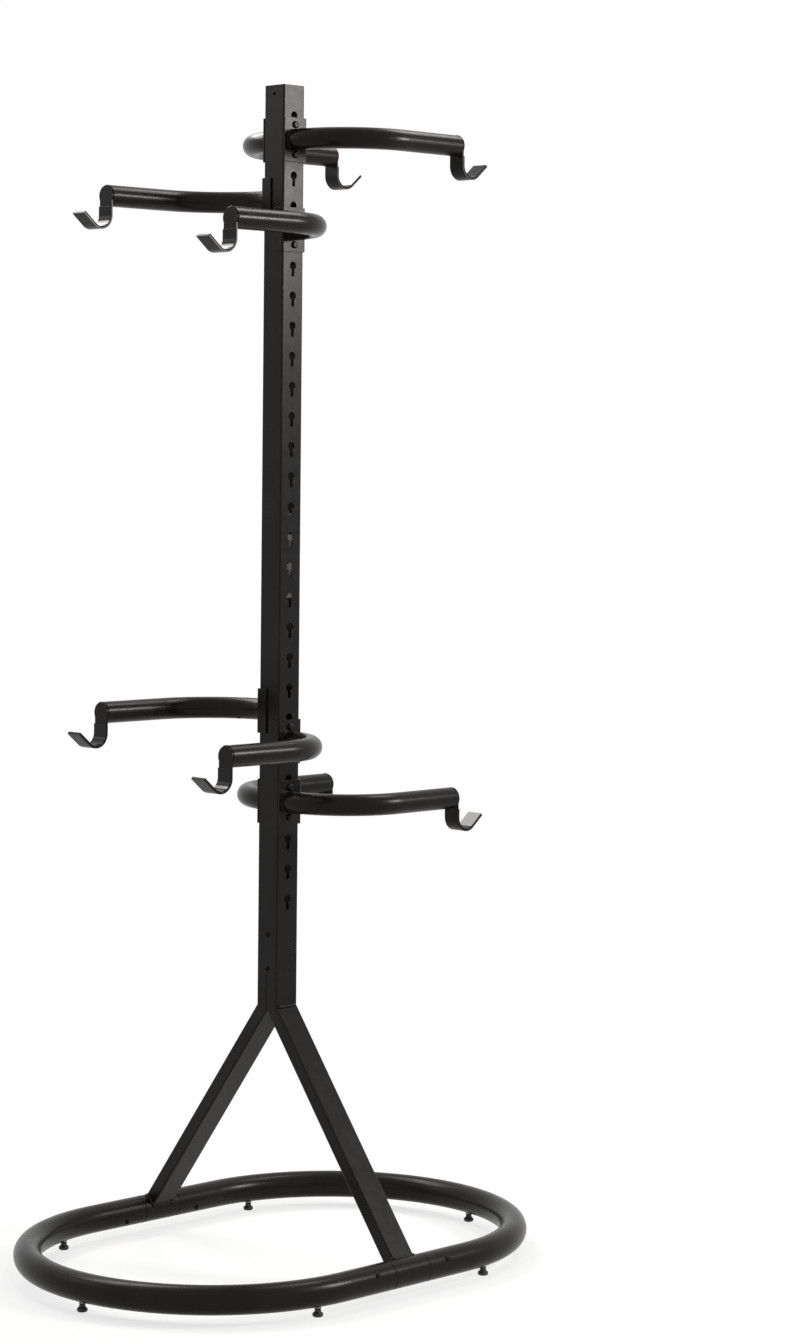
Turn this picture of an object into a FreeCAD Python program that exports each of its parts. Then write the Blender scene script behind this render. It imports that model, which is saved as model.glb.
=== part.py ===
"""Two tier bike rack: a keyhole post on two splayed legs and a ring base, with eight lift-off arms.

Millimetres, +Z up, origin on the floor under the post's axis. The long way of the base is Y.
"right" is +X, "left" is -X, "front" is -Y and "rear" is +Y. Each arm is hung on the right or the left
face of the post and reaches to the front or to the rear.
"""
import FreeCAD, Part
import math
import os

V = FreeCAD.Vector
Y_AXIS, Z_AXIS = V(0, 1, 0), V(0, 0, 1)
EDGE_TOL = 1e-3               # for finding an edge by its place

# ---- heights -------------------------------------------------------------------------------------
TOTAL_HEIGHT = 2070.0
UPPER_POST_LENGTH = 830.0
LOWER_POST_LENGTH = 735.0
STUB_HEIGHT = 55.0            # upright top of each leg, under the post
RING_CLEARANCE = 16.0         # floor to the underside of the ring tube

# ---- post and its keyholes -----------------------------------------------------------------------
POST_WIDTH = 50.0
POST_WALL = 2.0
POST_CORNER = 3.0             # outer corner radius of the square tube
FIRST_KEYHOLE = 54.0          # top of the post down to the centre of the first keyhole's head
KEYHOLE_END_MARGIN = 10.0     # least wall left between a keyhole and the end of its tube or a sleeve
KEYHOLE_HEAD_D = 15.0
KEYHOLE_GRIP = 2.0            # wall between a keyhole's head and the inner head of a hung stud
SIDE_HOLE_D = 6.0             # small open hole in the front face, near the top
SIDE_HOLE_DEPTH = 15.5        # top of the post down to its centre

# ---- joiner, leg spigot and plug inside the post -------------------------------------------------
SLEEVE_GAP = 0.2              # between a sleeve and the tube round it, on each side
SLEEVE_WALL = 2.0
JOINER_OVERLAP = 75.0         # how far the joiner reaches into each post tube
JOINER_WINDOW_SIDE = 2.5      # from a keyhole's head to the side of the joiner's open slot
JOINER_SCREW_END = 35.0       # end of the joiner to its screw
SPIGOT_OVERLAP = 95.0         # how far the leg spigot reaches into the lower post
SPIGOT_SCREW_END = 25.0       # top of the spigot to its upper screw
SPIGOT_SCREW_FOOT = 10.0      # lower end of the post to the lower screw
PLUG_TOP = 3.0
PLUG_WALL = 1.6
PLUG_TO_HOLE = 1.5            # foot of the plug to the edge of the side hole

# ---- screws --------------------------------------------------------------------------------------
SCREW_D = 6.0
SCREW_HEAD_D = 9.6
SCREW_HEAD_H = 3.0
SCREW_CROWN = 1.8             # rounding of a button head
SCREW_SOCKET_D = 4.0
SCREW_SOCKET_DEPTH = 1.8
SCREW_CLEARANCE = 0.15        # radial gap in the outer wall
SCREW_THREAD_GAP = 0.05       # radial gap in the wall that the screw bites
SCREW_REACH = 3.0             # how far a screw's tip stands inside the sleeve

# ---- legs ----------------------------------------------------------------------------------------
LEG_WALL = 2.0
LEG_CORNER = 3.0              # corner radius of the rectangular tube
WELD_GAP = 0.25               # between a leg's coped foot and its socket

# ---- ring ----------------------------------------------------------------------------------------
RING_TUBE_D = 48.3
RING_WALL = 2.0
RING_HALF_WIDTH = 320.0       # post axis to the centre line of the ring's straight side
RING_STRAIGHT = 146.0         # post axis to where the ring's end bend starts, along Y
SOCKET_HALF_LENGTH = 40.5
SOCKET_SPIGOT = 60.0          # how far a socket's spigot reaches into a ring half
SOCKET_FIT = 0.05             # radial gap between spigot and ring
SEAM_GAP = 0.3
SEAM_CHAMFER = 0.8
RING_BOLT_FROM_SEAM = 43.5
RING_BOLT_TILT = 30.0         # degrees, outer end of a ring bolt above the horizontal
SADDLE_DEPTH = 1.0            # extra length under a bolt's head and nut, shaped to the round tube
NUT_D = 9.0
NUT_H = 4.0
NUT_CROWN = 1.6

# ---- levelling feet ------------------------------------------------------------------------------
RIGHT_FOOT_ANGLE = 9.5        # degrees, round the end bend from its right hand start
MIDDLE_FOOT_ANGLE = 84.5
LEFT_FOOT_ANGLE = 166.0
PAD_D = 18.0
PAD_SOLE_D = 13.6
PAD_EDGE = 1.8                # height of the eased edge under the pad
PAD_RIM_H = 5.6               # floor to the top of the pad's rim
PAD_SHOULDER_H = 3.2
PAD_NECK_D = 10.6
STEM_D = 6.0
STEM_BARE = 1.0               # stem between the pad's neck and the insert, when screwed right in
STEM_PROUD = 2.0              # stem standing out of the insert's upper end
INSERT_WALL = 1.5
INSERT_FLANGE_D = 12.0
INSERT_FLANGE_H = 1.0
INSERT_DEPTH = 12.0
RUNNING_GAP = 0.05            # radial gap of stem in insert, and of insert in the ring's hole

# ---- arms ----------------------------------------------------------------------------------------
ARM_TUBE_D = 38.0
ARM_WALL = 2.0
ARM_ROOT_STRAIGHT = 0.8       # tube between the bracket and the start of the bend
ARM_BEND_R = 132.0
ARM_STRAIGHT = 140.0          # from the end of the bend to the hook
VENT_D = 8.0                  # open hole under the bend, which vents the closed tube
VENT_TURN_ANGLE = 26.0        # degrees, round the bend from its start
VENT_LEAN_ANGLE = 25.0        # degrees, from straight down towards the inside of the bend
BRACKET_T = 3.0
BRACKET_END = 12.5            # stud centre to the end of the bracket
BRACKET_FLANGE_GAP = 10.0     # between the flanges of a right and a left bracket
BRACKET_GAP = 0.2             # between the bracket and the post
STUD_D = 6.6
STUD_SLOT_GAP = 0.2           # stud's shank to each side of the keyhole's slot
STUD_PASS_GAP = 1.0           # stud's inner head to the edge of the keyhole's head
STUD_TO_TUBE = 1.0            # outer head of a stud to the arm's tube
STUD_HEAD_H = 4.0
STUD_CROWN = 2.8
STUD_INNER_H = 3.0
STUD_INNER_GAP = 0.4          # inner head to the inside of the post's wall
STUD_HOLE_GAP = 0.1

# ---- hooks ---------------------------------------------------------------------------------------
HOOK_T = 3.0
HOOK_W = 32.0                 # a little narrower than the tube that it is welded to
HOOK_TOP_D = 36.0             # round top, which closes the tube's end and leaves room for the weld
HOOK_STRAIGHT = 16.0          # upright part of the hook below the tube
HOOK_BEND_R = 25.0            # outside radius of the J
HOOK_LIP_ANGLE = 40.0         # degrees, slope of the lip above the horizontal
HOOK_LIP_LENGTH = 31.0
LINER_T = 2.0
LINER_GLUE = 0.05             # between the hook and its liner

# ---- where each arm hangs: side, end, post tube, and the keyhole of its upper stud from that tube's top
ARMS = {
    "upper_front_right": (1, -1, "upper", 3),
    "upper_front_left": (-1, -1, "upper", 2),
    "upper_rear_right": (1, 1, "upper", 0),
    "upper_rear_left": (-1, 1, "upper", 0),
    "lower_front_right": (1, -1, "lower", 5),
    "lower_front_left": (-1, -1, "lower", 4),
    "lower_rear_right": (1, 1, "lower", 7),
    "lower_rear_left": (-1, 1, "lower", 7),
}

# ---- worked out from the above -------------------------------------------------------------------
HALF_POST = POST_WIDTH / 2
POST_INSIDE = POST_WIDTH - 2 * POST_WALL
SEAM_Z = TOTAL_HEIGHT - UPPER_POST_LENGTH
POST_FOOT_Z = SEAM_Z - LOWER_POST_LENGTH
FOLD_Z = POST_FOOT_Z - STUB_HEIGHT
SPIGOT_TOP_Z = POST_FOOT_Z + SPIGOT_OVERLAP
SIDE_HOLE_Z = TOTAL_HEIGHT - SIDE_HOLE_DEPTH

STUD_HEAD_D = KEYHOLE_HEAD_D - 2 * STUD_PASS_GAP
KEYHOLE_PITCH = ARM_TUBE_D + STUD_HEAD_D + 2 * STUD_TO_TUBE
KEYHOLE_DROP = (KEYHOLE_HEAD_D + STUD_HEAD_D) / 2 + KEYHOLE_GRIP
KEYHOLE_SLOT_W = STUD_D + 2 * STUD_SLOT_GAP

SLEEVE_W = POST_INSIDE - 2 * SLEEVE_GAP
SCREW_R = SCREW_D / 2
SCREW_GRIP = POST_WALL + SLEEVE_GAP + SLEEVE_WALL + SCREW_REACH

RING_R = RING_TUBE_D / 2
RING_Z = RING_CLEARANCE + RING_R
RING_BEND_R = RING_HALF_WIDTH
RING_HALF_LENGTH = RING_STRAIGHT + RING_BEND_R
RING_MOUTH_Y = SOCKET_HALF_LENGTH + SEAM_GAP

STUB_T = HALF_POST            # each leg's stub fills one half of the post's outline
LEG_SPAN = V(RING_HALF_WIDTH - STUB_T, 0, RING_Z - FOLD_Z)       # fold to the socket's axis
LEG_ANGLE = math.degrees(math.atan2(LEG_SPAN.x, -LEG_SPAN.z) + math.asin(STUB_T / 2 / LEG_SPAN.Length))

INSERT_BORE_R = STEM_D / 2 + RUNNING_GAP
INSERT_BARREL_R = INSERT_BORE_R + INSERT_WALL
INSERT_FOOT_Z = RING_CLEARANCE - INSERT_FLANGE_H
INSERT_TOP_Z = RING_CLEARANCE + INSERT_DEPTH

ARM_R = ARM_TUBE_D / 2
BRACKET_INNER = HALF_POST + BRACKET_GAP
BRACKET_OUTER = BRACKET_INNER + BRACKET_T
BRACKET_H = KEYHOLE_PITCH + 2 * BRACKET_END
ARM_OFFSET = BRACKET_OUTER + ARM_ROOT_STRAIGHT + ARM_BEND_R
ARM_REACH = ARM_BEND_R + ARM_STRAIGHT
LINER_FACE = HOOK_T + LINER_GLUE
LONG = 2 * TOTAL_HEIGHT       # longer than anything a cutting tool has to pass through


# ---- shapes used more than once ------------------------------------------------------------------
def box(low, high):
    return Part.makeBox(high.x - low.x, high.y - low.y, high.z - low.z, low)


def cylinder(radius, start, end):
    return Part.makeCylinder(radius, (end - start).Length, start, end - start)


def rounded_bar(low, high, corner):
    """Upright bar between two corner points, rounded on its four upright edges."""
    bar = box(low, high)
    upright = [e for e in bar.Edges if abs(e.BoundBox.ZLength - (high.z - low.z)) < EDGE_TOL]
    return bar.makeFillet(corner, upright)


def square_bar(width, low_z, high_z, corner):
    return rounded_bar(V(-width / 2, -width / 2, low_z), V(width / 2, width / 2, high_z), corner)


def square_tube(width, wall, low_z, high_z, corner):
    bore = square_bar(width - 2 * wall, low_z - wall, high_z + wall, corner / 3)
    return square_bar(width, low_z, high_z, corner).cut(bore)


def turned(profile, x, y):
    """Solid of revolution about an upright axis, from (radius, height) points."""
    points = [V(r, 0, z) for r, z in profile]
    solid = Part.Face(Part.makePolygon(points + points[:1])).revolve(V(0, 0, 0), Z_AXIS, 360)
    solid.translate(V(x, y, 0))
    return solid


def line(start, end):
    return Part.makeLine(start, end)


def arc(start, middle, end):
    return Part.Arc(start, middle, end).toShape()


def bent_tube(path, radius, wall):
    """Round tube along a tangent path: its straight edges are extruded and its arcs are turned."""
    runs = []
    for edge in path:
        start = edge.valueAt(edge.FirstParameter)
        along = edge.tangentAt(edge.FirstParameter)
        disc, bore = (Part.Face(Part.Wire(Part.makeCircle(r, start, along))) for r in (radius, radius - wall))
        section = disc.cut(bore)
        if isinstance(edge.Curve, Part.Line):
            runs.append(section.extrude(along * edge.Length))
        else:
            turn = math.degrees(edge.LastParameter - edge.FirstParameter)
            runs.append(section.revolve(edge.Curve.Center, edge.Curve.Axis, turn))
    return runs[0].multiFuse(runs[1:]).removeSplitter()


def round_head(diameter, height, crown, seat, outward):
    """Short cylinder that stands on its seat, with its far rim rounded."""
    head = cylinder(diameter / 2, seat, seat + outward * height)
    far_rim = [e for e in head.Edges if (e.CenterOfMass - seat).dot(outward) > height - EDGE_TOL]
    return head.makeFillet(crown, far_rim)


# ---- keyholes ------------------------------------------------------------------------------------
def keyhole_heights(low_z, high_z):
    """Head centres of the keyholes that lie whole between two heights, from the top down."""
    below = KEYHOLE_DROP + KEYHOLE_SLOT_W / 2 + KEYHOLE_END_MARGIN
    above = KEYHOLE_HEAD_D / 2 + KEYHOLE_END_MARGIN
    heights = []
    z = TOTAL_HEIGHT - FIRST_KEYHOLE
    while z > low_z + below:
        if z < high_z - above:
            heights.append(z)
        z -= KEYHOLE_PITCH
    return heights


KEYHOLES = {
    "upper": keyhole_heights(SEAM_Z, TOTAL_HEIGHT),
    "lower": keyhole_heights(SPIGOT_TOP_Z, SEAM_Z),
}


def keyhole_cutter(z):
    """Head and slot of a keyhole, right through the post along X."""
    foot_z = z - KEYHOLE_DROP
    half_slot = KEYHOLE_SLOT_W / 2
    head = cylinder(KEYHOLE_HEAD_D / 2, V(-POST_WIDTH, 0, z), V(POST_WIDTH, 0, z))
    slot = box(V(-POST_WIDTH, -half_slot, foot_z), V(POST_WIDTH, half_slot, z))
    round_end = cylinder(half_slot, V(-POST_WIDTH, 0, foot_z), V(POST_WIDTH, 0, foot_z))
    return head.multiFuse([slot, round_end])


# ---- screws: each seat is (point on the outer face, outward direction) ----------------------------
def spigot_screw_seats():
    heights = (POST_FOOT_Z + SPIGOT_SCREW_FOOT, SPIGOT_TOP_Z - SPIGOT_SCREW_END)
    return [(V(0, end * HALF_POST, z), V(0, end, 0)) for end in (-1, 1) for z in heights]


def joiner_screw_seats():
    offset = JOINER_OVERLAP - JOINER_SCREW_END
    return [(V(0, HALF_POST, SEAM_Z + way * offset), Y_AXIS) for way in (-1, 1)]


def screw_holes(seats, radius):
    return [cylinder(radius, seat - outward * HALF_POST, seat + outward * HALF_POST)
            for seat, outward in seats]


def button_screw(seat, outward, grip, under=0.0):
    """Rounded head with a hex key's socket, and a shank that runs grip deep behind the seat."""
    head = round_head(SCREW_HEAD_D, SCREW_HEAD_H + under, SCREW_CROWN, seat - outward * under, outward)
    top = seat + outward * SCREW_HEAD_H
    socket = cylinder(SCREW_SOCKET_D / 2, top - outward * SCREW_SOCKET_DEPTH, top + outward)
    shank = cylinder(SCREW_R, seat - outward * grip, seat)
    return head, shank, socket


def make_post_screws():
    screws = []
    for seat, outward in spigot_screw_seats() + joiner_screw_seats():
        head, shank, socket = button_screw(seat, outward, SCREW_GRIP)
        screws.append(head.fuse(shank).removeSplitter().cut(socket))
    return Part.makeCompound(screws)


# ---- post ----------------------------------------------------------------------------------------
def post_tube(low_z, high_z, keyholes, seats):
    tube = square_tube(POST_WIDTH, POST_WALL, low_z, high_z, POST_CORNER)
    return tube.cut([keyhole_cutter(z) for z in keyholes] + screw_holes(seats, SCREW_R + SCREW_CLEARANCE))


def make_upper_post():
    seats = [s for s in joiner_screw_seats() if s[0].z > SEAM_Z]
    side_hole = cylinder(SIDE_HOLE_D / 2, V(0, -POST_WIDTH, SIDE_HOLE_Z), V(0, 0, SIDE_HOLE_Z))
    return post_tube(SEAM_Z, TOTAL_HEIGHT, KEYHOLES["upper"], seats).cut(side_hole)


def make_lower_post():
    seats = [s for s in joiner_screw_seats() if s[0].z < SEAM_Z] + spigot_screw_seats()
    return post_tube(POST_FOOT_Z, SEAM_Z, KEYHOLES["lower"], seats)


def sleeve(low_z, high_z, seats):
    tube = square_tube(SLEEVE_W, SLEEVE_WALL, low_z, high_z, POST_CORNER)
    return tube.cut(screw_holes(seats, SCREW_R + SCREW_THREAD_GAP))


def make_joiner():
    """Sleeve across the seam, slotted on both keyhole faces except for a band at the seam."""
    half = KEYHOLE_HEAD_D / 2 + JOINER_WINDOW_SIDE
    band = KEYHOLE_END_MARGIN
    windows = [box(V(-POST_WIDTH, -half, SEAM_Z + band), V(POST_WIDTH, half, LONG)),
               box(V(-POST_WIDTH, -half, 0), V(POST_WIDTH, half, SEAM_Z - band))]
    return sleeve(SEAM_Z - JOINER_OVERLAP, SEAM_Z + JOINER_OVERLAP, joiner_screw_seats()).cut(windows)


def make_spigot():
    return sleeve(FOLD_Z + LEG_WALL, SPIGOT_TOP_Z, spigot_screw_seats())


def make_plug():
    """Cap with a skirt, flush with the top of the post."""
    foot_z = SIDE_HOLE_Z + SIDE_HOLE_D / 2 + PLUG_TO_HOLE
    plug = square_bar(SLEEVE_W, foot_z, TOTAL_HEIGHT, POST_CORNER / 2)
    inside = SLEEVE_W - 2 * PLUG_WALL
    return plug.cut(square_bar(inside, foot_z - PLUG_WALL, TOTAL_HEIGHT - PLUG_TOP, POST_CORNER / 2))


# ---- legs ----------------------------------------------------------------------------------------
def leg_bar(inset, corner, low_z, high_z):
    """Upright bar over the right half of the post's outline, less the inset all round."""
    half_y = HALF_POST - inset
    return rounded_bar(V(inset, -half_y, low_z), V(STUB_T - inset, half_y, high_z), corner)


def mitred_bar(inset, corner, high_z):
    """Upright stub and splayed run of the same bar, mitred at the fold.

    The run is the bar turned about the fold's outer line, and the mitre is a plane turned half as far."""
    pivot = V(STUB_T, 0, FOLD_Z)
    below = box(V(-LONG, -LONG, -LONG), V(LONG, LONG, FOLD_Z))
    below.rotate(pivot, Y_AXIS, -LEG_ANGLE / 2)
    run = leg_bar(inset, corner, FOLD_Z - LEG_SPAN.Length - RING_TUBE_D, FOLD_Z + STUB_T)
    run.rotate(pivot, Y_AXIS, -LEG_ANGLE)
    stub = leg_bar(inset, corner, FOLD_Z - STUB_T, high_z)
    return stub.cut(below).fuse(run.common(below))


def make_leg(side):
    """Mitred rectangular tube, opened at the top for the spigot and coped over its ring socket."""
    seat_z = FOLD_Z + LEG_WALL
    outside = mitred_bar(0, LEG_CORNER, POST_FOOT_Z).removeSplitter()
    inside = mitred_bar(LEG_WALL, LEG_CORNER / 3, seat_z + LEG_WALL)
    half_well = POST_INSIDE / 2
    well = box(V(-half_well, -half_well, seat_z), V(half_well, half_well, LONG))
    socket = V(RING_HALF_WIDTH, 0, RING_Z)
    cope = cylinder(RING_R + WELD_GAP, socket - Y_AXIS * POST_WIDTH, socket + Y_AXIS * POST_WIDTH)
    below_axis = box(V(-LONG, -LONG, -LONG), V(LONG, LONG, RING_Z))
    leg = outside.cut([inside, well, cope, below_axis])
    return leg if side > 0 else leg.mirror(V(0, 0, 0), V(1, 0, 0))


# ---- ring ----------------------------------------------------------------------------------------
def ring_half_path(end):
    """Straight, half circle, straight, for the front (-1) or the rear (1) half."""
    mouth_y, bend_y, far_y = end * RING_MOUTH_Y, end * RING_STRAIGHT, end * RING_HALF_LENGTH
    mouths = [V(side * RING_HALF_WIDTH, mouth_y, RING_Z) for side in (-1, 1)]
    bends = [V(side * RING_HALF_WIDTH, bend_y, RING_Z) for side in (-1, 1)]
    return [line(mouths[0], bends[0]), arc(bends[0], V(0, far_y, RING_Z), bends[1]),
            line(bends[1], mouths[1])]


def ring_bolt_axes():
    """Middle and outward direction of each through bolt."""
    tilt = math.radians(RING_BOLT_TILT)
    y = SOCKET_HALF_LENGTH + RING_BOLT_FROM_SEAM
    return [(V(side * RING_HALF_WIDTH, end * y, RING_Z), V(side * math.cos(tilt), 0, math.sin(tilt)))
            for side in (-1, 1) for end in (-1, 1)]


def ring_bolt_holes(radius):
    return [cylinder(radius, centre - out * RING_TUBE_D, centre + out * RING_TUBE_D)
            for centre, out in ring_bolt_axes()]


def foot_places():
    angles = {"middle": MIDDLE_FOOT_ANGLE, "left": LEFT_FOOT_ANGLE, "right": RIGHT_FOOT_ANGLE}
    places = {}
    for end_name, end in (("front", -1), ("rear", 1)):
        for place, angle in angles.items():
            turn = math.radians(angle)
            x, y = RING_BEND_R * math.cos(turn), RING_STRAIGHT + RING_BEND_R * math.sin(turn)
            places["foot_%s_%s" % (end_name, place)] = (x, end * y)
    return places


def make_ring_half(end):
    half = bent_tube(ring_half_path(end), RING_R, RING_WALL)
    foot_holes = [cylinder(INSERT_BARREL_R + RUNNING_GAP, V(x, y, 0), V(x, y, RING_Z))
                  for x, y in foot_places().values() if y * end > 0]
    half = half.cut(ring_bolt_holes(SCREW_R + SCREW_CLEARANCE) + foot_holes)
    rims = [e for e in half.Edges if abs(e.CenterOfMass.y - end * RING_MOUTH_Y) < EDGE_TOL
            and abs(e.Length - math.pi * RING_TUBE_D) < EDGE_TOL]
    return half.makeChamfer(SEAM_CHAMFER, rims)


def make_socket(side):
    """Sleeve as wide as the ring, with a spigot standing out of each end."""
    def bar(radius, half):
        x = side * RING_HALF_WIDTH
        return cylinder(radius, V(x, -half, RING_Z), V(x, half, RING_Z))
    body = bar(RING_R, SOCKET_HALF_LENGTH)
    rims = [e for e in body.Edges if abs(abs(e.CenterOfMass.y) - SOCKET_HALF_LENGTH) < EDGE_TOL]
    spigot_r = RING_R - RING_WALL - SOCKET_FIT
    reach = SOCKET_HALF_LENGTH + SOCKET_SPIGOT
    body = body.makeChamfer(SEAM_CHAMFER, rims).fuse(bar(spigot_r, reach))
    return body.cut([bar(spigot_r - RING_WALL, LONG)] + ring_bolt_holes(SCREW_R + SCREW_THREAD_GAP))


def make_ring_bolts():
    """Through bolts, head and nut both shaped underneath to sit on the round tube."""
    bolts = []
    for centre, out in ring_bolt_axes():
        head, shank, socket = button_screw(centre + out * RING_R, out, 2 * RING_R, SADDLE_DEPTH)
        nut = round_head(NUT_D, NUT_H + SADDLE_DEPTH, NUT_CROWN, centre - out * (RING_R - SADDLE_DEPTH), -out)
        tube = cylinder(RING_R, centre - Y_AXIS * SCREW_HEAD_D, centre + Y_AXIS * SCREW_HEAD_D)
        ends = [end.cut(tube) for end in (head, nut)]
        bolts.append(shank.multiFuse(ends).removeSplitter().cut(socket))
    return Part.makeCompound(bolts)


# ---- levelling feet ------------------------------------------------------------------------------
def make_foot(x, y):
    sole_r, pad_r, neck_r, stem_r = PAD_SOLE_D / 2, PAD_D / 2, PAD_NECK_D / 2, STEM_D / 2
    neck_top = INSERT_FOOT_Z - STEM_BARE
    stem_top = INSERT_TOP_Z + STEM_PROUD
    profile = [(0, 0), (sole_r, 0), (pad_r, PAD_EDGE), (pad_r, PAD_RIM_H),
               (neck_r, PAD_RIM_H + PAD_SHOULDER_H), (neck_r, neck_top), (stem_r, neck_top),
               (stem_r, stem_top), (0, stem_top)]
    return turned(profile, x, y)


def make_inserts():
    """Threaded inserts, flanged under the ring, one for each foot."""
    flange_r = INSERT_FLANGE_D / 2
    profile = [(INSERT_BORE_R, INSERT_FOOT_Z), (flange_r, INSERT_FOOT_Z), (flange_r, RING_CLEARANCE),
               (INSERT_BARREL_R, RING_CLEARANCE), (INSERT_BARREL_R, INSERT_TOP_Z),
               (INSERT_BORE_R, INSERT_TOP_Z)]
    return Part.makeCompound([turned(profile, x, y) for x, y in foot_places().values()])


# ---- arms: side is 1 or -1 along X, end is 1 or -1 along Y, z is the tube's axis -------------------
def vent_hole(side, end, z):
    """Drill from the tube's axis down through its wall, part of the way round the bend."""
    turn, lean = math.radians(VENT_TURN_ANGLE), math.radians(VENT_LEAN_ANGLE)
    inward = V(-side * math.sin(turn), end * math.cos(turn), 0)
    start = V(side * (ARM_OFFSET - ARM_BEND_R), end * ARM_BEND_R, z) - inward * ARM_BEND_R
    down = inward * math.sin(lean) - Z_AXIS * math.cos(lean)
    return cylinder(VENT_D / 2, start, start + down * ARM_TUBE_D)


def make_arm_tube(side, end, z):
    bend_start_x = ARM_OFFSET - ARM_BEND_R
    sagitta = ARM_BEND_R * (1 - math.sqrt(0.5))
    root = V(side * BRACKET_OUTER, 0, z)
    bend_start = V(side * bend_start_x, 0, z)
    bend_middle = V(side * (ARM_OFFSET - sagitta), end * sagitta, z)
    bend_end = V(side * ARM_OFFSET, end * ARM_BEND_R, z)
    tip = V(side * ARM_OFFSET, end * ARM_REACH, z)
    path = [line(root, bend_start), arc(bend_start, bend_middle, bend_end), line(bend_end, tip)]
    return bent_tube(path, ARM_R, ARM_WALL).cut(vent_hole(side, end, z))


def stud_heights(z):
    return [z - KEYHOLE_PITCH / 2, z + KEYHOLE_PITCH / 2]


def make_bracket(side, end, z):
    """Angle that lies on a keyhole face, with a flange round the plain face on the hook's side."""
    low_z, high_z = z - BRACKET_H / 2, z + BRACKET_H / 2
    def plate(x_range, y_range):
        xs, ys = sorted(side * x for x in x_range), sorted(end * y for y in y_range)
        return box(V(xs[0], ys[0], low_z), V(xs[1], ys[1], high_z))
    web = plate((BRACKET_INNER, BRACKET_OUTER), (-HALF_POST, BRACKET_OUTER))
    flange = plate((BRACKET_FLANGE_GAP / 2, BRACKET_OUTER), (BRACKET_INNER, BRACKET_OUTER))
    angle = web.fuse(flange).removeSplitter()
    corner = V(side * BRACKET_OUTER, end * BRACKET_OUTER, z)
    bend = [e for e in angle.Edges if (e.CenterOfMass - corner).Length < EDGE_TOL]
    holes = [cylinder(STUD_D / 2 + STUD_HOLE_GAP, V(0, 0, h), V(side * POST_WIDTH, 0, h))
             for h in stud_heights(z)]
    return angle.makeFillet(BRACKET_T, bend).cut(holes)


def make_studs(side, z):
    """Two shouldered studs: rounded head outside the bracket, flat head inside the post."""
    out = V(side, 0, 0)
    inner_out = HALF_POST - POST_WALL - STUD_INNER_GAP
    inner_in = inner_out - STUD_INNER_H
    studs = []
    for h in stud_heights(z):
        at = V(0, 0, h)
        seat = at + out * BRACKET_OUTER
        outer_head = round_head(STUD_HEAD_D, STUD_HEAD_H, STUD_CROWN, seat, out)
        inner_head = cylinder(STUD_HEAD_D / 2, at + out * inner_in, at + out * inner_out)
        shank = cylinder(STUD_D / 2, at + out * inner_in, seat)
        studs.append(shank.multiFuse([outer_head, inner_head]).removeSplitter())
    return Part.makeCompound(studs)


# ---- hooks, drawn at the tube's end with Y outward and Z up from the tube's axis -------------------
def j_band(near, far, top_z):
    """Strip bent to a J, between two depths from the face that lies on the tube's end."""
    turn = math.radians(90 + HOOK_LIP_ANGLE)
    centre = V(0, HOOK_BEND_R, -ARM_R - HOOK_STRAIGHT)
    lip = V(0, math.sin(turn), -math.cos(turn)) * HOOK_LIP_LENGTH

    def face_points(depth):
        start, middle, stop = (
            centre - V(0, math.cos(a), math.sin(a)) * (HOOK_BEND_R - depth) for a in (0, turn / 2, turn))
        return V(0, depth, top_z), start, middle, stop, stop + lip

    back, front = face_points(near), face_points(far)
    edges = [line(back[0], back[1]), arc(back[1], back[2], back[3]), line(back[3], back[4]),
             line(back[4], front[4]), line(front[4], front[3]), arc(front[3], front[2], front[1]),
             line(front[1], front[0]), line(front[0], back[0])]
    band = Part.Face(Part.Wire(edges)).extrude(V(HOOK_W, 0, 0))
    band.translate(V(-HOOK_W / 2, 0, 0))
    return band


def placed_hook(shape, side, end, z):
    if end < 0:
        shape = shape.mirror(V(0, 0, 0), Y_AXIS)
    shape.translate(V(side * ARM_OFFSET, end * ARM_REACH, z))
    return shape


def make_hook(side, end, z):
    """Flat strip with a round top that closes the tube's end."""
    round_top = cylinder(HOOK_TOP_D / 2, V(0, 0, 0), V(0, HOOK_T, 0))
    strip = j_band(0, HOOK_T, 0)
    return placed_hook(round_top.fuse(strip).removeSplitter(), side, end, z)


def make_liner(side, end, z):
    return placed_hook(j_band(LINER_FACE, LINER_FACE + LINER_T, -ARM_R), side, end, z)


def make_arm(name):
    side, end, tube, place = ARMS[name]
    upper_stud_z = KEYHOLES[tube][place] - KEYHOLE_DROP
    z = upper_stud_z - KEYHOLE_PITCH / 2
    return {
        name + "_tube": make_arm_tube(side, end, z),
        name + "_bracket": make_bracket(side, end, z),
        name + "_studs": make_studs(side, z),
        name + "_hook": make_hook(side, end, z),
        name + "_liner": make_liner(side, end, z),
    }


# ---- the whole rack ------------------------------------------------------------------------------
def make_rack():
    nodes = {
        "upper_post": make_upper_post(),
        "lower_post": make_lower_post(),
        "post_joiner": make_joiner(),
        "post_screws": make_post_screws(),
        "post_plug": make_plug(),
        "leg_spigot": make_spigot(),
        "ring_front_half": make_ring_half(-1),
        "ring_rear_half": make_ring_half(1),
        "ring_bolts": make_ring_bolts(),
        "foot_inserts": make_inserts(),
    }
    for side_name, side in (("left", -1), ("right", 1)):
        nodes["leg_" + side_name] = make_leg(side)
        nodes["ring_socket_" + side_name] = make_socket(side)
    for name, (x, y) in foot_places().items():
        nodes[name] = make_foot(x, y)
    for name in ARMS:
        nodes.update(make_arm(name))
    return nodes


os.makedirs("parts", exist_ok=True)
for node_name, shape in make_rack().items():
    shape.exportStep("parts/%s.step" % node_name)
    print("%-28s solids %d valid %s volume %.0f mm3" % (
        node_name, len(shape.Solids), shape.isValid(), shape.Volume))
print("keyholes", KEYHOLES)
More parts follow.
